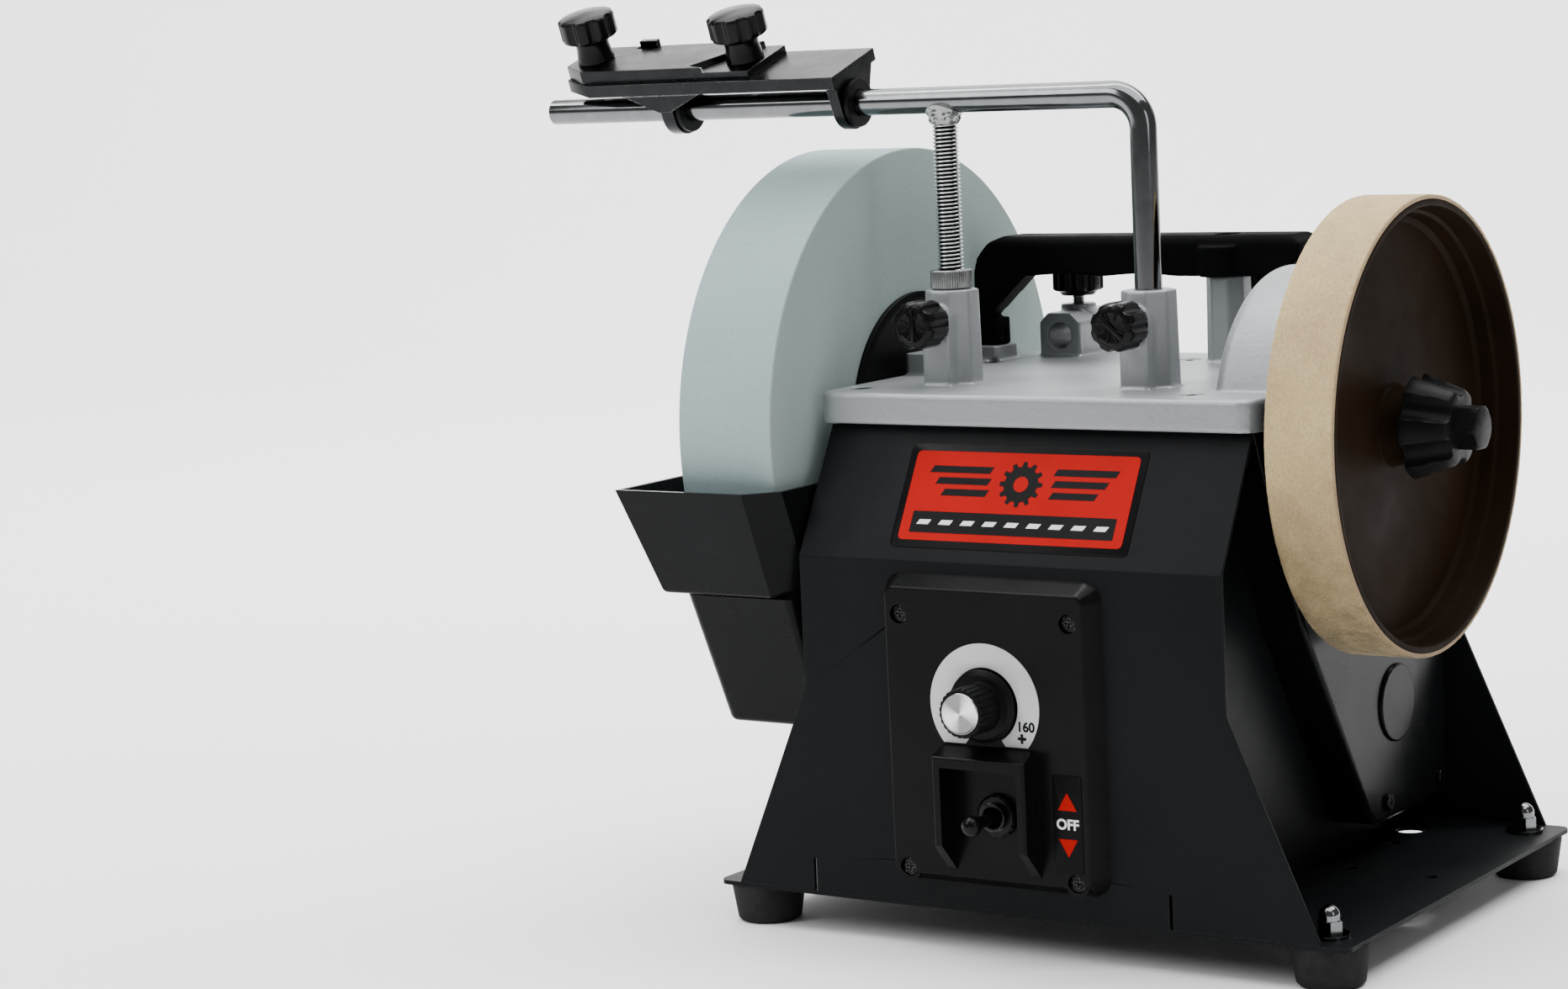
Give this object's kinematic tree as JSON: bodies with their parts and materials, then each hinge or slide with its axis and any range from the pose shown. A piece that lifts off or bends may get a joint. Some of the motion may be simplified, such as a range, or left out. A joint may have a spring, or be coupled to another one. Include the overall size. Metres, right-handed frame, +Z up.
{
  "type": "wet grinding sharpener",
  "caption": "Bench wet grinding sharpener: slow grinding stone in a water trough, leather honing wheel, speed dial, tool support bar with planer blade jig.",
  "frame": {"origin": "on the floor under the feet, midway between the side edges and between the front and rear panels", "axes": "+Z up, -Y to the control panel, -X to the grinding stone, +X to the honing wheel"},
  "size_m": [0.4507, 0.2974, 0.4193],
  "materials": {
    "black_powder_coat": "fine satin powder coat",
    "silver_paint": "silver paint over a cast surface",
    "zinc_steel": "zinc plated",
    "chrome": "polished",
    "steel": "machined",
    "dark_steel": "dark oiled finish",
    "stone": "fine sintered abrasive, opaque",
    "gloss_black_plastic": "glossy moulding",
    "matte_black_plastic": "satin moulding",
    "leather": "suede side out, worn",
    "rubber": "matte",
    "aluminium": "turned",
    "dial_grey": "printed plate",
    "label_red": "printed film",
    "label_black": "printed film",
    "board_green": "circuit board",
    "copper": "wound core"
  },
  "bodies": {
    "machine": {"front_panel": "black_powder_coat", "rear_panel": "black_powder_coat", "base_plate": "black_powder_coat", "left_wall": "black_powder_coat", "right_wall": "black_powder_coat", "belt_cover": "gloss_black_plastic", "case_screws": "dark_steel", "rubber_feet": "rubber", "foot_bolts": "steel", "acorn_nuts": "chrome", "top_casting": "silver_paint", "carrying_handle": "matte_black_plastic", "handle_screws": "dark_steel", "drive_belt": "rubber", "motor_body": "black_powder_coat", "motor_end_bells": "aluminium", "motor_bracket": "steel", "motor_screws": "zinc_steel", "control_panel": "gloss_black_plastic", "panel_screws": "dark_steel", "dial_plate": "dial_grey", "switch_label": "label_black", "front_label": "label_red", "potentiometer": "zinc_steel", "toggle_switch": "zinc_steel", "toggle_nut": "zinc_steel", "control_board": "board_green", "inlet_gland": "matte_black_plastic", "bearings": "steel", "trough_hanger": "black_powder_coat"},
    "spindle_assembly": {"spindle": "steel", "grinding_stone": "stone", "stone_bush": "matte_black_plastic", "stone_flanges": "matte_black_plastic", "stone_nut": "zinc_steel", "honing_wheel": "matte_black_plastic", "honing_leather": "leather", "honing_nut": "matte_black_plastic", "drive_pulley": "matte_black_plastic"},
    "motor_rotor": {"motor_pulley": "steel", "motor_shaft": "steel", "motor_armature": "copper"},
    "speed_dial": {"speed_knob": "matte_black_plastic", "speed_knob_cap": "aluminium", "speed_knob_shaft": "steel"},
    "toggle": {"toggle_lever": "chrome"},
    "support": {"support_bar": "chrome", "threaded_leg": "zinc_steel"},
    "height_adjuster": {"height_nut": "zinc_steel"},
    "front_knob_left": {"front_clamp_knob_left": "gloss_black_plastic"},
    "front_knob_right": {"front_clamp_knob_right": "gloss_black_plastic"},
    "rear_knob_left": {"rear_clamp_knob_left": "gloss_black_plastic"},
    "rear_knob_right": {"rear_clamp_knob_right": "gloss_black_plastic"},
    "jig_carriage": {"jig_bushes": "matte_black_plastic"},
    "jig": {"jig_base": "dark_steel"},
    "jig_clamp": {"jig_clamp_plate": "dark_steel"},
    "clamp_knob_left": {"jig_knob_left": "gloss_black_plastic"},
    "clamp_knob_right": {"jig_knob_right": "gloss_black_plastic"},
    "trough": {"water_trough": "gloss_black_plastic", "splash_tray": "gloss_black_plastic"}
  },
  "joints": [
    {"name": "spindle_spin", "type": "hinge", "parent": "machine", "child": "spindle_assembly", "pos_m": [0, 0, 0.221], "axis": [1, 0, 0], "continuous": true},
    {"name": "motor_spin", "type": "hinge", "parent": "machine", "child": "motor_rotor", "pos_m": [0, 0.056, 0.087], "axis": [1, 0, 0], "continuous": true},
    {"name": "speed_knob_turn", "type": "hinge", "parent": "machine", "child": "speed_dial", "pos_m": [-0.006, -0.13, 0.1125], "axis": [0, -1, 0], "range_deg": [-135, 135]},
    {"name": "toggle_tilt", "type": "hinge", "parent": "machine", "child": "toggle", "pos_m": [-0.001, -0.1268, 0.065], "axis": [1, 0, 0], "range_deg": [-12, 12]},
    {"name": "support_height", "type": "slide", "parent": "machine", "child": "support", "axis": [0, 0, 1], "range_m": [-0.015, 0.04]},
    {"name": "height_nut_turn", "type": "hinge", "parent": "machine", "child": "height_adjuster", "pos_m": [-0.063, -0.05, 0.289], "axis": [0, 0, 1], "range_deg": [-8300, 3120]},
    {"name": "front_knob_left_turn", "type": "hinge", "parent": "machine", "child": "front_knob_left", "pos_m": [-0.063, -0.0666, 0.2708], "axis": [0, -1, 0], "range_deg": [0, 720]},
    {"name": "front_knob_right_turn", "type": "hinge", "parent": "machine", "child": "front_knob_right", "pos_m": [0.037, -0.0666, 0.2708], "axis": [0, -1, 0], "range_deg": [0, 720]},
    {"name": "rear_knob_left_turn", "type": "hinge", "parent": "machine", "child": "rear_knob_left", "pos_m": [-0.076, 0.088, 0.27], "axis": [0, 0, 1], "range_deg": [0, 720]},
    {"name": "rear_knob_right_turn", "type": "hinge", "parent": "machine", "child": "rear_knob_right", "pos_m": [0.024, 0.088, 0.27], "axis": [0, 0, 1], "range_deg": [0, 720]},
    {"name": "jig_slide", "type": "slide", "parent": "support", "child": "jig_carriage", "axis": [1, 0, 0], "range_m": [-0.055, 0.028]},
    {"name": "jig_pivot", "type": "hinge", "parent": "jig_carriage", "child": "jig", "pos_m": [-0.161, -0.05, 0.369], "axis": [1, 0, 0], "range_deg": [-45, 45]},
    {"name": "jig_clamp_lift", "type": "slide", "parent": "jig", "child": "jig_clamp", "axis": [0, -0.3256, 0.9455], "range_m": [0, 0.005]},
    {"name": "jig_knob_left_turn", "type": "hinge", "parent": "jig_clamp", "child": "clamp_knob_left", "pos_m": [-0.253, -0.05299, 0.39304], "axis": [0, -0.3256, 0.9455], "range_deg": [0, 1820]},
    {"name": "jig_knob_right_turn", "type": "hinge", "parent": "jig_clamp", "child": "clamp_knob_right", "pos_m": [-0.168, -0.05217, 0.39067], "axis": [0, -0.3256, 0.9455], "range_deg": [0, 1820]},
    {"name": "trough_lower", "type": "slide", "parent": "machine", "child": "trough", "axis": [0, 0, 1], "range_m": [-0.025, 0]}
  ],
  "couplings": [
    {"joint": "motor_spin", "follows": "spindle_spin", "ratio": 6.4444},
    {"joint": "height_nut_turn", "follows": "support_height", "rad_per_m": -3590.4},
    {"joint": "jig_knob_left_turn", "follows": "jig_clamp_lift", "rad_per_m": 6283.2},
    {"joint": "jig_knob_right_turn", "follows": "jig_clamp_lift", "rad_per_m": 6283.2}
  ]
}
